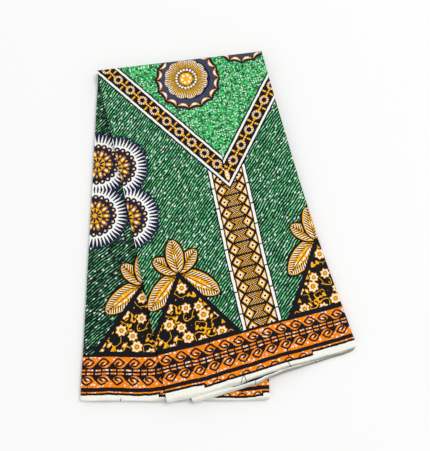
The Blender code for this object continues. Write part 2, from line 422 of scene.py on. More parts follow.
class Drawn:
    # a number that changes over the cloth, as a node gives it
    def __init__(self, tree, socket):
        self.tree = tree
        self.socket = socket

    def worked(self, operation, *others, clamp=False):
        node = self.tree.nodes.new("ShaderNodeMath")
        node.operation = operation
        node.use_clamp = clamp
        for entry, term in zip(node.inputs, (self,) + others):
            if isinstance(term, Drawn):
                self.tree.links.new(term.socket, entry)
            else:
                entry.default_value = term
        return Drawn(self.tree, node.outputs[0])

    __add__ = partialmethod(worked, "ADD")
    __sub__ = partialmethod(worked, "SUBTRACT")
    __mul__ = partialmethod(worked, "MULTIPLY")
    __abs__ = partialmethod(worked, "ABSOLUTE")
    scaled = partialmethod(worked, "MULTIPLY_ADD")      # by a factor, then an offset added
    above = partialmethod(worked, "GREATER_THAN")
    below = partialmethod(worked, "LESS_THAN")
    near = partialmethod(worked, "COMPARE")             # within this reach of a middle
    larger = partialmethod(worked, "MAXIMUM")
    smaller = partialmethod(worked, "MINIMUM")

    def repeated(self, pitch):
        # from minus to plus half a pitch, again and again
        return self.worked("WRAP", pitch / 2, -pitch / 2)

    def mirrored(self, pitch):
        # distance to the nearest of a row of points a pitch apart
        return self.worked("PINGPONG", pitch / 2)


def setInputs(node, values):
    for name, value in values.items():
        node.inputs[name].default_value = value


def joined(*terms):
    # two or three numbers as one vector
    tree = terms[0].tree
    node = tree.nodes.new("ShaderNodeCombineXYZ")
    for entry, term in zip(node.inputs, terms):
        if isinstance(term, Drawn):
            tree.links.new(term.socket, entry)
        else:
            entry.default_value = term
    return node.outputs[0]


def vectorNode(tree, operation, *terms, scale=None):
    # a vector node on sockets or plain vectors
    node = tree.nodes.new("ShaderNodeVectorMath")
    node.operation = operation
    for entry, term in zip(node.inputs, terms):
        if isinstance(term, tuple):
            entry.default_value = term
        else:
            tree.links.new(term, entry)
    if isinstance(scale, Drawn):
        tree.links.new(scale.socket, node.inputs["Scale"])
    elif scale is not None:
        node.inputs["Scale"].default_value = scale
    return node


def lengthOf(x, y):
    place = joined(x, y)
    return Drawn(x.tree, vectorNode(x.tree, "LENGTH", place).outputs["Value"])


def angleOf(x, y):
    return y.worked("ARCTAN2", x)


def turned(x, y, angle):
    # the same point on axes turned by this angle
    cosine, sine = math.cos(angle), math.sin(angle)
    return (x.scaled(cosine, y * sine), y.scaled(cosine, x * -sine))


def grainOf(x, y, size, stretch=1.0, seed=0.0, detail=1.0, roughness=0.5):
    # cloudy noise with spots of this size, stretched along y
    tree = x.tree
    cloud = tree.nodes.new("ShaderNodeTexNoise")
    setInputs(cloud, {"Scale": 1.0, "Detail": detail, "Roughness": roughness})
    tree.links.new(joined(x * (1 / size), y * (1 / (size * stretch)), seed), cloud.inputs["Vector"])
    return Drawn(tree, cloud.outputs["Fac"])


def spotOf(x, y, size, loose=1.0):
    # the place of scattered spots: how far off the nearest one is, both ways, and its own random numbers
    tree = x.tree
    place = joined(x, y)
    cells = tree.nodes.new("ShaderNodeTexVoronoi")
    cells.voronoi_dimensions = "2D"
    setInputs(cells, {"Scale": 1 / size, "Randomness": loose})
    tree.links.new(place, cells.inputs["Vector"])
    offset = vectorNode(tree, "SUBTRACT", place, cells.outputs["Position"])
    split = tree.nodes.new("ShaderNodeSeparateXYZ")
    tree.links.new(offset.outputs[0], split.inputs[0])
    colour = tree.nodes.new("ShaderNodeSeparateXYZ")
    tree.links.new(cells.outputs["Color"], colour.inputs[0])
    return (Drawn(tree, split.outputs[0]), Drawn(tree, split.outputs[1]),
            Drawn(tree, colour.outputs[0]), Drawn(tree, colour.outputs[1]))


def speckOf(x, y, size):
    # distance to scattered spots, in millimetres, and a random number for each spot
    fromX, fromY, chance, _ = spotOf(x, y, size)
    return lengthOf(fromX, fromY), chance


def slopeOf(value, start, end, low, high):
    # a soft slope from low to high
    node = value.tree.nodes.new("ShaderNodeMapRange")
    node.interpolation_type = "SMOOTHSTEP"
    value.tree.links.new(value.socket, node.inputs["Value"])
    setInputs(node, {"From Min": start, "From Max": end, "To Min": low, "To Max": high})
    return Drawn(value.tree, node.outputs[0])


class Print:
    # a cloth's colour, built up one dye over another
    def __init__(self, tree, x, y, rawY):
        self.tree = tree
        self.x = x
        self.y = y
        self.rawY = rawY
        self.colour = None

    def paint(self, ink, mask=None):
        if isinstance(ink, str):
            ink = dye(ink)
        if mask is None:
            self.colour = ink
            return
        node = self.tree.nodes.new("ShaderNodeMix")
        node.data_type = "RGBA"
        node.clamp_factor = True
        self.tree.links.new(mask.socket, node.inputs["Factor"])
        for entry, term in ((node.inputs[6], self.colour), (node.inputs[7], ink)):
            if isinstance(term, tuple):
                entry.default_value = term
            else:
                self.tree.links.new(term, entry)
        self.colour = node.outputs[2]

    def keepWithin(self, mask, before):
        # what was painted since then stays inside the mask only
        drawn = self.colour
        self.colour = before
        self.paint(drawn, mask)


fullTurn = 2 * math.pi

# The figures' sizes, in millimetres of cloth.  A pair is a band's middle and half its width,
# or a noise's size and stretch, or else a place or a span that its name tells.
hatch = SimpleNamespace(
    pitch=4.2, drift=38.0, driftReach=8.0, stroke=(2.1, 4.6), rough=0.45, contrast=2.3, edge=3.0,
    fleck=(1.9, 2.2), fleckInk=8.0, fleckRise=1.1, fleckFrom=5.4,
    drop=6.0, dropShape=0.42, dropSize=0.92, dropsFrom=0.56)


def paintHatch(chart, layout):
    # thin black strokes on green, broken and uneven, with light flecks on the green between them
    along, over = turned(chart.x, chart.y, layout["hatchAngle"])
    drift = grainOf(chart.x, chart.y, hatch.drift, seed=5.1)
    comb = (over + drift * hatch.driftReach).mirrored(hatch.pitch)
    streak = grainOf(over, along, *hatch.stroke, seed=1.3, roughness=hatch.rough)
    shade = streak.scaled(hatch.contrast, layout["hatchInk"]) - comb
    light = grainOf(over, along, *hatch.fleck, seed=7.7, detail=0.0)
    between = comb.scaled(hatch.fleckRise, -hatch.fleckFrom)
    chart.paint("green")
    chart.paint("brightGreen", light.scaled(hatch.fleckInk, between, clamp=True))
    chart.paint("hatchBlack", shade.scaled(hatch.edge, 0.5, clamp=True))
    drop, chance = speckOf(over, along * hatch.dropShape, hatch.drop)
    chart.paint("white", drop.below(hatch.dropSize) * chance.above(hatch.dropsFrom))


yoke = SimpleNamespace(
    blot=3.0, lightInk=8.0, lightFrom=4.0, shadeInk=9.0, shadeTo=4.6, speck=4.2, speckSize=1.12,
    specksFrom=0.64)


def paintYoke(chart, mask):
    # a grainy light green ground
    cloud = grainOf(chart.x, chart.y, yoke.blot, seed=3.3)
    before = chart.colour
    chart.paint("yokeGreen")
    chart.paint("yokeLight", cloud.scaled(yoke.lightInk, -yoke.lightFrom, clamp=True))
    chart.paint("yokeShade", cloud.scaled(-yoke.shadeInk, yoke.shadeTo, clamp=True))
    speck, chance = speckOf(chart.x, chart.y, yoke.speck)
    chart.paint("white", speck.below(yoke.speckSize) * chance.above(yoke.specksFrom))
    chart.keepWithin(mask, before)


column = SimpleNamespace(
    outer=33.5, inner=25.0, bar=(29.3, 2.2), breaks=36.0, breakShift=4.0, breakHalf=1.05,
    rungAt=94.0, pitch=21.33, bow=1.7, bowMiddle=190.0, bowHalf=96.0, leanFrom=200.0, lean=0.037,
    diamondAt=15.7, diamondHalf=9.2, rim=0.18, outerRim=0.09, eye=0.48, corner=1.36,
    twill=3.5, twillSlope=-0.8, twillInk=0.74, grain=2.0, grainReach=0.7, paleFrom=0.57, paleTwill=1.15,
    rung=1.6, dot=1.9, dashAt=21.2, dash=0.8, dashEdge=23.6)


def paintColumn(chart, layout):
    # a ladder of dotted diamonds between two white lines
    x = chart.x - (chart.y - column.leanFrom).larger(0.0).scaled(column.lean, layout["columnAt"])
    side = abs(x)
    rise = (chart.y - column.bowMiddle) * (1 / column.bowHalf)
    y = chart.y - (rise * rise).scaled(-column.bow, column.bow + column.rungAt)
    step = y.mirrored(column.pitch)
    half = column.pitch / 2
    chart.paint("black", side.below(column.outer))
    within = side.below(column.inner)
    ring = abs(side - column.diamondAt).scaled(1 / column.diamondHalf, step.scaled(-1 / half, 1.0))
    outside = side.above(column.diamondAt)
    beyond = ring.above(1.0)
    chart.paint("amber", within)
    twill = x.scaled(column.twillSlope, step).mirrored(column.twill)
    grain = grainOf(x, chart.y, column.grain, seed=8.8)
    inner = beyond - outside
    chart.paint("brown", inner * (twill - grain * column.grainReach).below(column.twillInk))
    chart.paint("white", inner * grain.above(column.paleFrom) * twill.above(column.paleTwill))
    chart.paint("black", inner * step.below(column.rung))
    chart.paint("white", outside * ring.above(column.corner) * side.below(column.dashEdge))
    chart.paint("brown", lengthOf(side - column.dashAt, step).below(column.dash))
    chart.paint("white", ring.below(column.eye))
    chart.paint("black", lengthOf(side - column.diamondAt, step - half).below(column.dot))
    chart.paint("black", ring.near(1.0, outside.scaled(column.outerRim, column.rim)) * within)
    breaks = x.above(0.0).scaled(column.breakShift, chart.y).mirrored(column.breaks)
    chart.paint("white", side.near(*column.bar) * breaks.above(column.breakHalf))


rosette = SimpleNamespace(
    apart=92.0, spikes=48, wear=9.0, navy=66.0, navySpike=7.0, navyWear=10.0,
    white=58.0, whiteSpike=22.0, whiteWear=5.0, lace=40.0, scallop=33.5,
    dots=20, dotsAt=32.4, dotRing=5.0, dot=1.9, glintAt=33.0, glint=0.9,
    petals=10, petalsAt=19.4, petalShape=0.52, petal=4.3, petalRim=(4.1, 0.5), petalLine=(2.9, 0.4),
    petalEye=1.4, heart=13.0, spokesAt=8.0, spokeShape=0.40, spoke=1.8,
    buttonsAt=22.5, buttonShape=0.6, button=1.5)


def paintRosettes(chart, layout):
    # two round flowers, one above the other, in rings of petals, dots and spikes
    x = chart.x - layout["rosetteAt"][0]
    y = abs(chart.y - layout["rosetteAt"][1]) - rosette.apart / 2
    reach = lengthOf(x, y)
    angle = angleOf(x, y)
    spike = angle.mirrored(fullTurn / rosette.spikes) * (rosette.spikes / math.pi)
    wear = grainOf(x, y, rosette.wear, seed=1.9)
    navy = reach + spike * rosette.navySpike + wear * rosette.navyWear
    chart.paint("navy", navy.below(rosette.navy))
    white = reach + spike * rosette.whiteSpike + wear * rosette.whiteWear
    chart.paint("white", white.below(rosette.white).larger(reach.below(rosette.lace)))
    dotAngle = angle.repeated(fullTurn / rosette.dots)
    dot = lengthOf(reach - rosette.dotsAt, dotAngle * rosette.dotsAt)
    chart.paint("navy", dot.below(rosette.dotRing).larger(reach.below(rosette.scallop)))
    chart.paint("amber", dot.below(rosette.dot))
    glint = lengthOf(reach - rosette.glintAt, dotAngle * rosette.dotsAt)
    chart.paint("white", glint.below(rosette.glint))
    petalAngle = angle.repeated(fullTurn / rosette.petals)
    petal = lengthOf((reach - rosette.petalsAt) * rosette.petalShape, petalAngle * reach)
    chart.paint("amber", petal.below(rosette.petal))
    chart.paint("navy", petal.near(*rosette.petalRim))
    chart.paint("brown", petal.near(*rosette.petalLine))
    chart.paint("white", petal.below(rosette.petalEye))
    chart.paint("amber", reach.below(rosette.heart))
    between = (angle + math.pi / rosette.petals).repeated(fullTurn / rosette.petals)
    spoke = lengthOf((reach - rosette.spokesAt) * rosette.spokeShape, between * reach)
    chart.paint("navy", spoke.below(rosette.spoke))
    button = lengthOf((reach - rosette.buttonsAt) * rosette.buttonShape, between * reach)
    chart.paint("amber", button.below(rosette.button))


leaves = SimpleNamespace(
    base=2.0, outline=3.6, span=(0.5, 0.55), taper=0.62, fullness=2.36, midrib=0.7,
    vein=5.0, veinLean=0.9, dark=(-6.8, 4.8), darkVein=1.05, wear=6.0, wearReach=1.6,
    pale=(-4.8, 3.0), paleFrom=2.45, core=(-13.0, 1.6), coreFrom=0.56,
    fan=[{"length": 76.0, "half": 17.0, "lean": math.radians(130)},
         {"length": 47.0, "half": 12.5, "lean": math.radians(50)},
         {"length": 56.0, "half": 14.0, "lean": 0.0}])


def paintLeaves(chart, layout):
    # a fan of plain veined leaves round the point of each triangle
    x = abs(abs(chart.x - layout["triangleAt"]) - layout["triangleStep"])
    y = chart.y - (layout["triangleTop"] - leaves.base)
    for leaf in leaves.fan:
        sine, cosine = math.sin(leaf["lean"]), math.cos(leaf["lean"])
        along = x.scaled(sine, y * cosine)
        off = x.scaled(cosine, y * -sine)
        share = along * (1 / leaf["length"])
        # an almond that is widest below its middle
        almond = (share * share.scaled(-1.0, 1.0)).larger(0.0).worked("POWER", leaves.taper)
        width = almond * (leaves.fullness * leaf["half"])
        rim = abs(off) - width
        within = rim.below(0.0)
        chart.paint("black", rim.below(leaves.outline) * share.near(*leaves.span))
        chart.paint("amber", within)
        veins = (along - abs(off) * leaves.veinLean).mirrored(leaves.vein)
        wear = grainOf(x, y, leaves.wear, seed=4.4)
        chart.paint("white", rim.near(*leaves.pale)
                    * (veins + wear * leaves.wearReach).above(leaves.paleFrom))
        chart.paint("white", rim.near(*leaves.core) * wear.above(leaves.coreFrom))
        chart.paint("black", rim.near(*leaves.dark) * veins.below(leaves.darkVein))
        chart.paint("brown", within * abs(off).below(leaves.midrib))


triangle = SimpleNamespace(
    slope=0.665, margin=9.0, foot=86.0, tendrils=15.0, tendril=(0.5, 0.022),
    buds=11.0, budsLoose=0.8, budSlant=0.5, budShape=0.7, bud=3.4, budHeart=-1.8, openFrom=0.4,
    flowers=27.0, flowersLoose=0.55, petals=7, flowerTurn=6.0, notch=6.0, growth=2.0,
    ring=10.4, flower=8.4, pale=(5.7, 1.1), eye=(2.9, 0.5))


def paintTriangles(chart, layout):
    # black triangles strewn with plain flowers, buds and tendrils
    x = abs(chart.x - layout["triangleAt"]) - layout["triangleStep"]
    edge = (chart.y - layout["triangleTop"]).scaled(triangle.slope, abs(x))
    chart.paint("black", edge.below(0.0))
    inside = edge.below(-triangle.margin) * chart.y.above(triangle.foot)
    curl = grainOf(x, chart.y, triangle.tendrils, seed=6.4, detail=0.0)
    chart.paint("amber", inside * curl.near(*triangle.tendril))
    budX, budY, budTurn, budSize = spotOf(x, chart.y, triangle.buds, triangle.budsLoose)
    bud = lengthOf(budX + budY * triangle.budSlant, budY * triangle.budShape) - budSize * triangle.bud
    chart.paint("amber", inside * bud.below(0.0))
    chart.paint("white", inside * bud.below(triangle.budHeart) * budTurn.above(triangle.openFrom))
    fromX, fromY, chance, other = spotOf(x, chart.y, triangle.flowers, triangle.flowersLoose)
    reach = lengthOf(fromX, fromY)
    petal = (angleOf(fromX, fromY) + chance * triangle.flowerTurn).mirrored(fullTurn / triangle.petals)
    flower = reach + petal * triangle.notch - other * triangle.growth
    chart.paint("black", inside * flower.below(triangle.ring))
    chart.paint("amber", inside * flower.below(triangle.flower))
    chart.paint("white", inside * flower.near(*triangle.pale))
    chart.paint("brown", inside * reach.near(*triangle.eye))


medal = SimpleNamespace(
    edge=56.2, edgeDip=0.034, crescents=16, cupAt=56.8, cup=9.9, capAt=68.0, cap=16.4,
    crescentEye=-0.9, crescentHalf=4.6, ripples=(45.0, 5.4), ripple=2.7, rippleDip=0.05, rippleHalf=0.55,
    offset=(-2.6, 1.4), disc=38.8, lobes=12, lobeAt=9.6, lobeDip=0.42, grain=3.0,
    rays=60, raysFrom=21.0, paleGrain=3.0, paleSlope=-0.03, paleFrom=3.75, darkGrain=1.4, darkTo=-0.22,
    beads=20, beadsAt=17.6, beadRing=2.8, bead=2.15, centre=11.6, pips=6, pipsAt=7.2, pip=2.3)


def paintMedallions(chart, layout, mask):
    # round navy medallions with a gold sunburst and a beaded middle
    first, second = layout["medallions"]
    which = chart.x.above((first[0] + second[0]) / 2)
    x = chart.x - which.scaled(second[0] - first[0], first[0])
    y = chart.rawY - which.scaled(second[1] - first[1], first[1])
    before = chart.colour
    reach = lengthOf(x, y)
    across = angleOf(x, y).repeated(fullTurn / medal.crescents) * medal.edge
    lobe = across * across
    chart.paint("navy", (reach - lobe * medal.edgeDip).below(medal.edge))
    ripple = (reach + lobe * medal.rippleDip).mirrored(medal.ripple)
    chart.paint("navyLight", reach.near(*medal.ripples) * ripple.below(medal.rippleHalf))
    cup = lengthOf(reach - medal.cupAt, across)
    cap = lengthOf(reach - medal.capAt, across)
    crescent = (cup - medal.cup).larger(cap.scaled(-1.0, medal.cap))
    chart.paint("amber", crescent.below(0.0))
    chart.paint("white", crescent.below(medal.crescentEye) * abs(across).below(medal.crescentHalf))
    x = x - medal.offset[0]
    y = y - medal.offset[1]
    reach = lengthOf(x, y)
    angle = angleOf(x, y)
    bulge = angle.repeated(fullTurn / medal.lobes) * medal.lobeAt
    disc = (reach + bulge * bulge * medal.lobeDip).below(medal.disc)
    ray = angle.mirrored(fullTurn / medal.rays) * reach
    grain = grainOf(x, y, medal.grain, seed=2.7)
    chart.paint("gold", disc)
    pale = (ray + grain * medal.paleGrain).above(reach.scaled(medal.paleSlope, medal.paleFrom))
    chart.paint("white", disc * pale * reach.above(medal.raysFrom))
    chart.paint("brown", disc * (ray - grain * medal.darkGrain).below(medal.darkTo))
    chart.paint("brown", reach.near(medal.beadsAt, medal.beadRing))
    bead = lengthOf(reach - medal.beadsAt, angle.repeated(fullTurn / medal.beads) * medal.beadsAt)
    chart.paint("white", bead.below(medal.bead))
    chart.paint("amber", reach.below(medal.centre))
    pip = lengthOf(reach - medal.pipsAt, angle.repeated(fullTurn / medal.pips) * medal.pipsAt)
    chart.paint("white", pip.below(medal.pip))
    chart.keepWithin(mask, before)


neck = SimpleNamespace(
    width=36.2, line=(13.75, 1.85), pitch=29.6, ringAt=46.9, rightAt=-1.6, rightShare=-0.06,
    beads=12, beadsAt=6.6, gold=(6.3, 2.1), goldHalf=1.2, pale=(6.1, 1.5), paleHalf=0.85,
    sides=(7.2, 1.2), sidesHalf=3.4, crossHalf=1.45, crossArm=(7.0, 3.6), barHalf=1.5, crossBar=(4.2, 1.9),
    crossEye=1.4, leafAt=(1.1, 25.4), leafShape=2.7, leaf=10.0, leafHeart=7.6, veins=5.6, veinFrom=0.8)


def neckPlace(chart, layout):
    # the distance from the band's outer edge, and the distance along the band from its point
    x = chart.x - layout["neckAt"][0]
    y = chart.rawY - layout["neckAt"][1]
    right = x.above(0.0)
    leftLean, rightLean = layout["neckLeans"]
    cosine = right.scaled(math.cos(rightLean) - math.cos(leftLean), math.cos(leftLean))
    sine = right.scaled(math.sin(rightLean) - math.sin(leftLean), math.sin(leftLean))
    side = abs(x)
    off = y * sine - side * cosine
    along = side * sine + y * cosine
    step = along * right.scaled(neck.rightShare, 1.0)
    return x, y, off, step - right.scaled(neck.rightAt, neck.ringAt)


def paintNeckBand(chart, x, y, off, along):
    # a black band of beaded rings and crosses between two white lines
    fromMiddle = off - neck.width / 2
    arm = abs(fromMiddle)
    chart.paint("black", arm.below(neck.width / 2))
    chart.paint("white", arm.near(*neck.line))
    step = along.repeated(neck.pitch)
    reach = lengthOf(step, fromMiddle)
    bead = abs(angleOf(step, fromMiddle).repeated(fullTurn / neck.beads)) * neck.beadsAt
    chart.paint("amber", reach.near(*neck.gold) * bead.below(neck.goldHalf))
    chart.paint("white", reach.near(*neck.pale) * bead.below(neck.paleHalf))
    chart.paint("amber", reach.near(*neck.sides) * arm.below(neck.sidesHalf))
    cross = abs(step) - neck.pitch / 2
    bars = cross.near(0.0, neck.crossHalf) * arm.near(*neck.crossArm)
    chart.paint("amber", bars.larger(arm.below(neck.barHalf) * abs(cross).near(*neck.crossBar)))
    chart.paint("white", lengthOf(cross, fromMiddle).below(neck.crossEye))
    leafX, leafY = neck.leafAt
    leaf = lengthOf((x - leafX) * neck.leafShape, y - leafY)
    chart.paint("amber", leaf.below(neck.leaf))
    veins = y.mirrored(neck.veins).above(neck.veinFrom)
    chart.paint("white", leaf.below(neck.leafHeart) * veins)


border = SimpleNamespace(
    black=81.8, top=77.6, middle=54.2, orange=30.1, stripe=23.8, line=(13.7, 17.0), boxLine=(18.3, 21.8),
    boxEnd=(0.6, 1.6), dots=6.6, dot=1.82, upperDots=(20.6, 2.6), lowerDots=(20.6, 2.8),
    upperRow=(-1.1, 0.7), seam=0.9, stroke=1.38, band=22.0, wedgeAt=12.0, wedgeLow=5.4, wedgeHigh=9.2,
    grain=3.6, blotsAt=(12.0, 5.6), blotsFrom=0.66, eyeAt=(-2.3, 11.7), eyeShift=0.4, eyeSlant=0.2,
    eyeShape=0.36, eye=1.0, core=5.2, dashAt=(2.7, 1.2), dashes=((9.3, 4.1), (-2.6, 5.0)), dashesFrom=0.59,
    roundAt=(0.6, 13.3), round=(7.25, 1.05), fields=5, tick=0.85,
    ticksAt=((32.2, 3.2), (22.8, 1.8), (75.6, 2.0)), mark=0.55, marksAt=(9.0, 5.4),
    plies=(1.7, 16.0), hemShadeReach=5.0, hemShadeFrom=9.4, hemShadeTo=4.6, hemShadeAcross=(60.0, 210.0))

# One running scroll as its line turns outwards from its eye, in millimetres from the border's middle
scrollLine = [(2.0, 13.7), (4.6, 12.6), (6.5, 11.2), (5.6, 9.2), (2.9, 8.4), (-0.6, 9.3), (-3.6, 11.6),
              (-6.3, 14.0), (-2.5, 17.4), (2.5, 20.0), (5.6, 18.8), (8.3, 16.1), (11.0, 13.2), (14.6, 10.0)]


def strokeOf(x, y, line):
    # distance to a line drawn through these points
    tree = x.tree
    place = joined(x, y)
    nearest = None
    for (fromX, fromY), (toX, toY) in zip(line, line[1:]):
        span = Vector((toX - fromX, toY - fromY, 0.0))
        offset = vectorNode(tree, "SUBTRACT", place, (fromX, fromY, 0.0)).outputs[0]
        along = vectorNode(tree, "DOT_PRODUCT", offset, tuple(span / span.length_squared))
        share = Drawn(tree, along.outputs["Value"]).worked("MULTIPLY", 1.0, clamp=True)
        foot = vectorNode(tree, "SCALE", tuple(span), scale=share)
        distance = Drawn(tree, vectorNode(tree, "DISTANCE", offset, foot.outputs[0]).outputs["Value"])
        nearest = distance if nearest is None else nearest.smaller(distance)
    return nearest


def paintBorder(chart, layout):
    # running scrolls above and below a broken line, black stripes and half-rounds, then the selvedge
    pitch = layout["scrollPitch"]
    x = (chart.x - layout["scrollAt"]) * layout["flip"]
    y = chart.y
    blot, chance = speckOf(chart.x, y, border.dots)
    white = (blot + chance).below(border.dot)
    fromMiddle = abs(y - border.middle)
    chart.paint("black", y.below(border.black))
    chart.paint("orange", y.below(border.top))
    chart.paint("white", white * fromMiddle.near(*border.upperDots))
    # the scrolls: a line that winds in to its eye, with orange round it and black wedges between
    upper = y.above(border.middle)
    step = (x - upper * border.upperRow[0] - border.seam).repeated(pitch) + border.seam
    over = fromMiddle - upper * border.upperRow[1]
    grain = grainOf(chart.x, y, border.grain, seed=9.3)
    chart.paint("white", grain.above(border.blotsFrom) * over.near(*border.blotsAt))
    eyeX, eyeY = border.eyeAt
    eye = lengthOf((step + border.eyeShift - over * border.eyeSlant - eyeX) * border.eyeShape, over - eyeY)
    chart.paint("white", eye.below(border.eye))
    wedge = abs((step - border.wedgeAt).repeated(pitch)).scaled(-2 / pitch, 1.0)
    black = over.below((wedge * wedge).scaled(border.wedgeHigh, border.wedgeLow))
    line = strokeOf(step, over, scrollLine).smaller(strokeOf(step + pitch, over, scrollLine[-2:]))
    chart.paint("black", black.larger(line.below(border.stroke)) * fromMiddle.below(border.band))
    # the broken line
    chart.paint("black", fromMiddle.below(border.core))
    dashes = None
    for start, half in border.dashes:
        dash = abs((x - start).repeated(pitch)).below(half)
        dashes = dash if dashes is None else dashes.larger(dash)
    dashes = dashes * fromMiddle.near(*border.dashAt)
    chart.paint("orange", dashes)
    chart.paint("white", dashes * grain.above(border.dashesFrom))
    # stripe, half-rounds and the ticks between the fields
    chart.paint("black", y.near((border.orange + border.stripe) / 2, (border.orange - border.stripe) / 2))
    plainFrom = abs(chart.x - layout["plainAt"][0])
    plain = plainFrom.below(layout["plainAt"][1])
    chart.paint("white", white * y.near(*border.lowerDots))
    bump = lengthOf((x - border.roundAt[0]).repeated(pitch), y - border.roundAt[1])
    chart.paint("black", bump.near(*border.round) * plain * y.below(border.stripe))
    tick = (chart.x - layout["tickAt"]).mirrored(pitch * border.fields).below(border.tick)
    low, middle, high = [y.near(*place) for place in border.ticksAt]
    chart.paint("black", tick * low.larger(middle).larger(high))
    # the plain cream selvedge, narrow and wide by turns
    drop = border.boxLine[1] - border.line[1]
    lineTop = plain.scaled(-drop, border.boxLine[1])
    lineLow = plain.scaled(-drop, border.boxLine[0])
    chart.paint("black", y.below(lineTop))
    boxEnd, boxEndHalf = border.boxEnd
    betweenEnds = plainFrom.near(layout["plainAt"][1] + boxEnd, boxEndHalf).scaled(-1.0, 1.0)
    chart.paint("cream", y.below(lineLow) * betweenEnds.larger(y.below(border.line[0])))
    # painted shade: grey streaks darken the cream towards the hem, where the plies' edges would shade it,
    # most at the fanned end
    edge = layout["edgeAt"]
    plies = y + grainOf(y, chart.x, *border.plies, seed=3.9) * border.hemShadeReach
    share = slopeOf(chart.x, *border.hemShadeAcross, *layout["edgeShade"])
    shade = slopeOf(plies, edge + border.hemShadeFrom, edge + border.hemShadeTo, 0.0, 1.0)
    chart.paint("creamShade", shade * share)
    # fine marks across the selvedge
    for start, lean in layout["marks"]:
        mark = abs(chart.x - y.scaled(lean, start)).below(border.mark)
        chart.paint("black", mark * y.near(*border.marksAt))


weave = SimpleNamespace(warp=0.55, weft=0.60, slub=(2.2, 5.0), threads=0.35, depth=0.00012, strength=0.35)


def weaveBump(tree, shader, across, up):
    # plain weave, fine enough to see only close by
    first = (across * (fullTurn / weave.warp)).worked("SINE")
    second = (up * (fullTurn / weave.weft)).worked("SINE")
    threads = first * second
    slub = grainOf(across, up, *weave.slub, seed=2.2, detail=2.0)
    height = threads.scaled(weave.threads, slub)
    bump = tree.nodes.new("ShaderNodeBump")
    setInputs(bump, {"Strength": weave.strength, "Distance": weave.depth})
    tree.links.new(height.socket, bump.inputs["Height"])
    tree.links.new(bump.outputs[0], shader.inputs["Normal"])
    return threads, slub


def clothFinish(name):
    material = bpy.data.materials.new(name)
    material.use_nodes = True
    shader = material.node_tree.nodes["Principled BSDF"]
    setInputs(shader, {"Roughness": 0.66, "Specular IOR Level": 0.11, "Sheen Weight": 0.02,
                       "Sheen Roughness": 0.5})
    return material, material.node_tree, shader


hand = SimpleNamespace(scale=0.11, detail=3.0, roughness=0.62, size=1.8)
# uneven dye, and a little painted shade between the threads
dyeToneAndThreadShade = SimpleNamespace(threads=0.03, slub=0.16, darkest=0.92)


def printedCloth(name, layout):
    # the whole print on one ply: layout says where its figures fall
    material, tree, shader = clothFinish(name)
    source = tree.nodes.new("ShaderNodeUVMap")
    source.uv_map = "cloth"
    flat = vectorNode(tree, "SCALE", source.outputs[0], scale=1000.0)
    waver = tree.nodes.new("ShaderNodeTexNoise")        # lines drawn by hand waver a little
    waver.noise_dimensions = "2D"
    setInputs(waver, {"Scale": hand.scale, "Detail": hand.detail, "Roughness": hand.roughness})
    tree.links.new(flat.outputs[0], waver.inputs["Vector"])
    wavered = vectorNode(tree, "MULTIPLY_ADD", waver.outputs["Color"], (hand.size, hand.size, 0.0),
                         flat.outputs[0])
    split = tree.nodes.new("ShaderNodeSeparateXYZ")
    tree.links.new(wavered.outputs[0], split.inputs[0])
    x = Drawn(tree, split.outputs[0]) - hand.size / 2
    rawY = Drawn(tree, split.outputs[1]) + (layout["hemShift"] - hand.size / 2)
    y = rawY.worked("PINGPONG", 500 * fullLength + layout["hemShift"])     # the other half is mirrored
    chart = Print(tree, x, y, rawY)
    paintHatch(chart, layout)
    paintRosettes(chart, layout)
    paintLeaves(chart, layout)
    paintTriangles(chart, layout)
    paintColumn(chart, layout)
    neckX, neckY, off, along = neckPlace(chart, layout)
    inYoke = off.above(neck.width - 0.5)
    paintYoke(chart, inYoke)
    paintMedallions(chart, layout, inYoke)
    paintNeckBand(chart, neckX, neckY, off, along)
    paintBorder(chart, layout)
    # the dye sits unevenly, and painted shade darkens the colour a little between the threads
    threads, slub = weaveBump(tree, shader, x, rawY)
    fade = tree.nodes.new("ShaderNodeHueSaturation")
    value = threads.scaled(dyeToneAndThreadShade.threads, slub.scaled(dyeToneAndThreadShade.slub, dyeToneAndThreadShade.darkest))
    tree.links.new(value.socket, fade.inputs["Value"])
    tree.links.new(chart.colour, fade.inputs["Color"])
    tree.links.new(fade.outputs[0], shader.inputs["Base Color"])
    print("print", name, len(tree.nodes), "nodes")
    return material


frontLayout = {
    "hemShift": 0.0, "hatchAngle": math.radians(43), "hatchInk": 0.19,
    "columnAt": 173.3, "rosetteAt": (-6.0, 357.0),
    "triangleAt": 177.3, "triangleStep": 117.7, "triangleTop": 201.4,
    "neckAt": (176.5, 316.8), "neckLeans": (math.radians(33.8), math.radians(40.3)),
    "medallions": ((154.2, 533.6), (266.8, 598.0)),
    "flip": 1.0, "scrollAt": 106.15, "scrollPitch": 23.65, "tickAt": 84.6, "plainAt": (152.0, 88.0),
    "edgeAt": 3.0, "edgeShade": (0.30, 0.95), "marks": ((116.4, 0.62), (129.4, -0.22), (204.0, -0.34)),
}

leftLayout = dict(frontLayout, hemShift=8.5, flip=-1.0, hatchAngle=math.radians(41), hatchInk=0.62,
                  columnAt=208.0, triangleAt=210.0, triangleTop=199.0, rosetteAt=(7.4, 357.6),
                  neckAt=(208.0, 321.8), scrollAt=59.4, scrollPitch=24.4, tickAt=9.4, plainAt=(205.0, 80.0),
                  edgeAt=6.4, edgeShade=(0.50, 0.50), marks=((60.0, 0.3), (176.0, -0.3)))

secondLayout = dict(frontLayout, scrollAt=95.0, columnAt=181.0, triangleAt=185.0, tickAt=70.0,
                    plainAt=(205.0, 100.0), edgeAt=6.6, edgeShade=(0.40, 0.95),
                    marks=((138.0, 0.4), (247.0, -0.3)))

hiddenLayout = dict(frontLayout, hemShift=3.0, columnAt=160.0, scrollAt=90.0, rosetteAt=(20.0, 357.6))


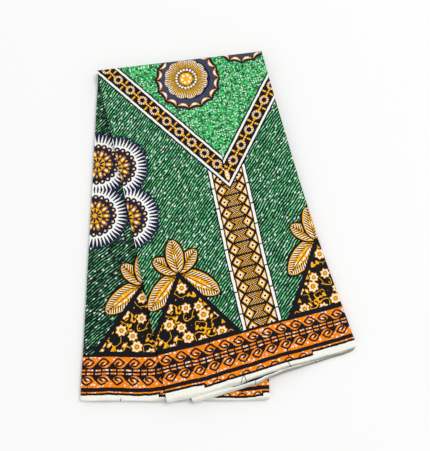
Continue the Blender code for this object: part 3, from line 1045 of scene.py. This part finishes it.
# The outermost ply: the upper leaf that shows, the round fold and the leaf underneath
frontCloth = {
    "outer": pack["halfHeight"], "inner": pack["halfHeight"] - 0.00115,
    "leftAtFold": 0.0, "leftAtHem": 0.0, "right": 0.0, "upperHem": ("front", 0.0), "lowerHem": 0.0012,
    "corners": (0.003, 0.015), "rise": "upper", "seed": 1.0,
    "rowSize": 0.0040, "columnSize": 0.0040, "foldSteps": 14,
}

# The ply under it, which shows along the hem
secondCloth = {
    "outer": pack["halfHeight"] - 0.0015, "inner": pack["halfHeight"] - 0.00265,
    "leftAtFold": 0.004, "leftAtHem": 0.039, "right": 0.0025, "upperHem": ("second", 0.0),
    "lowerHem": 0.0020, "corners": (0.006, 0.022), "rise": "second",
    "seed": 2.0, "rowSize": 0.0060, "columnSize": 0.0060, "foldSteps": 10,
}


def makeRoundPly(name, ply, material):
    def place(row, across, level):
        depth, sideInset, hemInset = level
        return plyPoint(row, across, depth, ply, sideInset, hemInset)

    rows = rowsRoundFold(ply["rowSize"], ply["foldSteps"])
    levels = pleatLevels(ply["inner"], ply["outer"])
    return clothMesh(name, rows, columnsAcross(ply["columnSize"]), levels, place, material)


# The innermost ply, which shows to the left of the fan and below it
leftCloth = {"top": 0.0006, "bottom": -0.0005, "tuck": 0.0015, "corner": 0.004, "rowSize": 0.0040,
             "columnSize": 0.0040, "seed": 3.0}


def makeLeftPly(name, ply, material):
    length = halves["lower"]["length"]

    def place(row, across, level):
        height, sideInset, hemInset = level
        width = halfWidth("lower", row)
        hemDistance = (1 - row) * length
        corner = cornerInset(hemDistance, ply["corner"])
        left = sideInset + corner + strayed(hemDistance, ply["seed"])
        right = sideInset + corner + strayed(hemDistance, ply["seed"] + 5)
        across = trimmed(across * width / pack["foldLength"], width, left, right)
        nearHem = max(0.0, 1 - (1 - row) / pack["hemReach"])
        setBack = alongLine(hemLines["lower"], across / width) + hemInset
        spot, (u, v) = onHalf("lower", across, row - setBack * nearHem / length, -height)
        return spot, (u, printPlace(printRise["lower"], across, width, v))

    distances = edgeSteps[:-1] + steps(edgeSteps[-1], length - ply["tuck"], ply["rowSize"])
    rows = [1 - distance / length for distance in distances]
    levels = pleatLevels(ply["bottom"], ply["top"])
    return clothMesh(name, rows, columnsAcross(ply["columnSize"]), levels, place, material)


# The hidden plies: turned pleats at the sides and cut selvedges at the hems, set back unevenly.
# One row for each pleat, from the tightest turn outwards, in millimetres.
hiddenPlies = {
    "rows": [
        {"left": 1.0, "right": 2.2, "lowerHem": 1.2, "upperHem": 1.2, "moved": 12},
        {"left": 2.4, "right": 0.9, "lowerHem": 0.4, "upperHem": -0.4, "moved": 61},
        {"left": 0.6, "right": 2.6, "lowerHem": 1.6, "upperHem": 0.8, "moved": 148},
        {"left": 2.0, "right": 1.2, "lowerHem": 0.6, "upperHem": -0.8, "moved": 205},
        {"left": 0.9, "right": 2.0, "lowerHem": 1.4, "upperHem": 0.2, "moved": 96},
    ],
    "outer": pack["halfHeight"] - 0.0030, "corners": (0.004, 0.016), "groove": 0.0014, "gap": 0.03,
    "printWidth": 0.3, "rowSize": 0.0090, "columnSize": 0.0120, "foldSteps": 10,
}


def makeHiddenPlies(name, sizes, material):
    height = (sizes["outer"] - pack["innerRadius"]) / len(sizes["rows"])
    levels = []
    for number, row in enumerate(sizes["rows"]):
        inner = pack["innerRadius"] + number * height
        ply = {
            "leftAtFold": 0.001 * row["left"], "leftAtHem": 0.001 * row["left"],
            "right": 0.001 * row["right"], "corners": sizes["corners"], "rise": "upper",
            "lowerHem": 0.001 * row["lowerHem"], "upperHem": ("hidden", 0.001 * row["upperHem"]),
            "seed": 10.0 + number, "moved": 0.001 * row["moved"],
        }
        pleat = pleatLevels(inner + sizes["gap"] * height, inner + (1 - sizes["gap"]) * height)
        for depth, sideInset, hemInset in pleat:
            levels.append((depth, sideInset, hemInset, ply))
        if number + 1 < len(sizes["rows"]):
            levels.append((inner + height, sizes["groove"], sizes["groove"], ply))

    def place(row, across, level):
        depth, sideInset, hemInset, ply = level
        spot, (u, v) = plyPoint(row, across, depth, ply, sideInset, hemInset)
        return spot, (u * sizes["printWidth"] + ply["moved"], v)

    rows = rowsRoundFold(sizes["rowSize"], sizes["foldSteps"])
    return clothMesh(name, rows, columnsAcross(sizes["columnSize"]), levels, place, material)


studio = {
    "lookAt": (-0.00776, -0.01323, 0.0), "tilt": math.radians(15.0), "distance": 1.11026, "focal": 655.0,
    "frameHeight": 451, "sensor": 36.0,
    "floorSize": 8.0, "floorDrop": 0.0003,
    "worldLight": 0.674, "keyAt": (3.8, 1.6, 8.8), "keySize": 4.4, "keyPower": 400.0,
}


def makeCamera():
    camera = bpy.data.objects.new("camera", bpy.data.cameras.new("camera"))
    camera.data.sensor_width = studio["sensor"]
    camera.data.lens = studio["focal"] * studio["sensor"] / studio["frameHeight"]
    target = Vector(studio["lookAt"])
    camera.location = target + studio["distance"] * Vector((0.0, -math.sin(studio["tilt"]),
                                                            math.cos(studio["tilt"])))
    camera.rotation_euler = (studio["tilt"], 0.0, 0.0)
    bpy.context.scene.collection.objects.link(camera)
    bpy.context.scene.camera = camera


def makeFloor():
    half = studio["floorSize"] / 2
    mesh = bpy.data.meshes.new("floor")
    corners = [(-half, -half), (half, -half), (half, half), (-half, half)]
    mesh.from_pydata([(x, y, -studio["floorDrop"]) for x, y in corners], [], [(0, 1, 2, 3)])
    floor = bpy.data.objects.new("floor", mesh)
    bpy.context.scene.collection.objects.link(floor)
    paper = bpy.data.materials.new("white_paper")
    paper.use_nodes = True
    shader = paper.node_tree.nodes["Principled BSDF"]
    setInputs(shader, {"Base Color": (0.93, 0.93, 0.926, 1.0), "Roughness": 0.9, "Specular IOR Level": 0.1})
    mesh.materials.append(paper)


def makeLights():
    world = bpy.data.worlds.new("studio")
    world.use_nodes = True
    background = world.node_tree.nodes["Background"]
    setInputs(background, {"Color": (1.0, 1.0, 1.0, 1.0), "Strength": studio["worldLight"]})
    bpy.context.scene.world = world
    lamp = bpy.data.lights.new("key", "AREA")
    lamp.shape = "DISK"
    lamp.size = studio["keySize"]
    lamp.energy = studio["keyPower"]
    key = bpy.data.objects.new("key", lamp)
    key.location = studio["keyAt"]
    key.rotation_euler = (Vector(studio["keyAt"])).to_track_quat("Z", "Y").to_euler()
    bpy.context.scene.collection.objects.link(key)


bpy.context.scene.view_settings.view_transform = "Standard"
makeCamera()
makeFloor()
makeLights()
print("camera, floor and lights are set")

frontPrint = printedCloth("front_wax_print", frontLayout)
secondPrint = printedCloth("second_wax_print", secondLayout)
leftPrint = printedCloth("inner_wax_print", leftLayout)
hiddenPrint = printedCloth("edge_wax_print", hiddenLayout)

front = makeRoundPly("front_cloth", frontCloth, frontPrint)
second = makeRoundPly("second_cloth", secondCloth, secondPrint)
left = makeLeftPly("left_cloth", leftCloth, leftPrint)
hidden = makeHiddenPlies("folded_cloth_layers", hiddenPlies, hiddenPrint)
print("plies are laid:", ", ".join(f"{piece.name} {len(piece.data.polygons)} faces"
                                  for piece in (front, second, left, hidden)))

for piece, node, slot in ((front, "front_panel", "front_print"), (second, "second_panel", "second_print"),
                          (left, "left_panel", "inner_print"), (hidden, "folded_layers", "layer_edges")):
    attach(piece, "root")
    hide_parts(node)
